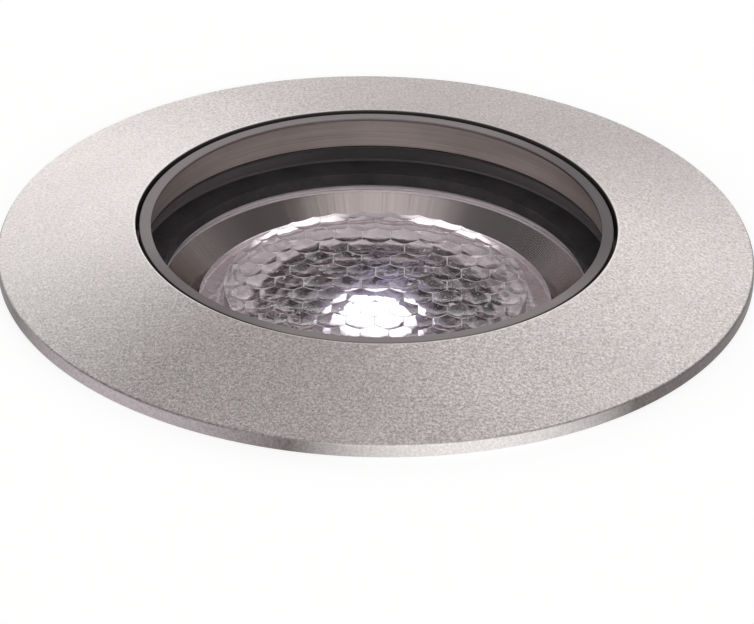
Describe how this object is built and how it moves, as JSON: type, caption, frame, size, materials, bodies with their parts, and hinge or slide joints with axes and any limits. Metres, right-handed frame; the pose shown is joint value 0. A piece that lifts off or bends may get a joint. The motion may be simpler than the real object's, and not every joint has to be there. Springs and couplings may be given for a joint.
{
  "type": "recessed deck light",
  "caption": "Round in-ground spot light with a wide shallow metal trim ring, recessed clear glass, honeycomb lens and LED, held under the deck by sprung clips.",
  "frame": {"origin": "centre of the trim ring's underside, on the deck's surface", "axes": "+Z out of the deck along the light's axis; +Y towards one of the clips"},
  "size_m": [0.0762, 0.0781, 0.087],
  "materials": {
    "black_lead": "smooth",
    "black_plastic": "fine moulded",
    "black_rubber": "matt",
    "blasted_metal": "fine blasted, satin",
    "bright_steel": "bright",
    "brushed_steel": "brushed round the wall",
    "cast_aluminium": "bead blasted and anodised",
    "clear_glass": "clear, polished",
    "clear_plastic": "clear moulded acrylic",
    "clear_silicone": "clear, soft",
    "dark_ferrite": "matt",
    "green_plastic": "moulded",
    "green_solder_mask": "semi-gloss",
    "led_phosphor": "matt",
    "red_lead": "smooth",
    "satin_aluminium": "satin",
    "spring_steel": "plain rolled",
    "thermal_pad": "matt",
    "white_solder_mask": "semi-gloss"
  },
  "bodies": {
    "root": {"trim_ring": "blasted_metal", "deck_gasket": "black_rubber", "bezel_ring": "brushed_steel", "upper_glass_seal": "black_rubber", "glass_window": "clear_glass", "lower_glass_seal": "black_rubber", "housing_tube": "cast_aluminium", "reflector_cup": "satin_aluminium", "honeycomb_lens": "clear_plastic", "lens_holder": "black_plastic", "led_board": "white_solder_mask", "led_board_screw_1": "bright_steel", "led_board_screw_2": "bright_steel", "led_package": "led_phosphor", "led_dome": "clear_silicone", "thermal_pad": "thermal_pad", "heat_sink": "cast_aluminium", "retaining_ring": "spring_steel", "driver_board": "green_solder_mask", "driver_standoff_1": "bright_steel", "driver_standoff_2": "bright_steel", "driver_standoff_3": "bright_steel", "driver_screw_1": "bright_steel", "driver_screw_2": "bright_steel", "driver_screw_3": "bright_steel", "driver_capacitor": "satin_aluminium", "driver_inductor": "dark_ferrite", "driver_chip": "black_plastic", "terminal_block": "green_plastic", "lead_red": "red_lead", "lead_black": "black_lead", "back_cap": "cast_aluminium", "cap_seal_ring": "black_rubber", "cap_screw_1": "bright_steel", "cap_screw_2": "bright_steel", "cap_screw_3": "bright_steel", "gland_body": "black_plastic", "gland_locknut": "black_plastic", "gland_washer": "black_rubber", "gland_seal": "black_rubber", "gland_nut": "black_plastic", "set_screw_1": "spring_steel", "set_screw_2": "spring_steel", "set_screw_3": "spring_steel", "clip_bracket_1": "bright_steel", "clip_bracket_2": "bright_steel", "clip_bracket_3": "bright_steel", "clip_screw_1": "bright_steel", "clip_screw_2": "bright_steel", "clip_screw_3": "bright_steel", "clip_pin_1": "bright_steel", "clip_pin_2": "bright_steel", "clip_pin_3": "bright_steel", "clip_spring_1": "spring_steel", "clip_spring_2": "spring_steel", "clip_spring_3": "spring_steel"},
    "clip_1": {"clip_arm_1": "spring_steel"},
    "clip_2": {"clip_arm_2": "spring_steel"},
    "clip_3": {"clip_arm_3": "spring_steel"}
  },
  "joints": [
    {"name": "clip_1_fold", "type": "hinge", "parent": "root", "child": "clip_1", "pos_m": [0, 0.0286, -0.038], "axis": [1, 0, 0], "range_deg": [0, 60], "stiffness_Nm_per_rad": 0.02, "springref_deg": -28.65},
    {"name": "clip_2_fold", "type": "hinge", "parent": "root", "child": "clip_2", "pos_m": [-0.02477, -0.0143, -0.038], "axis": [-0.5, 0.866, 0], "range_deg": [0, 60], "stiffness_Nm_per_rad": 0.02, "springref_deg": -28.65},
    {"name": "clip_3_fold", "type": "hinge", "parent": "root", "child": "clip_3", "pos_m": [0.02477, -0.0143, -0.038], "axis": [-0.5, -0.866, 0], "range_deg": [0, 60], "stiffness_Nm_per_rad": 0.02, "springref_deg": -28.65}
  ]
}
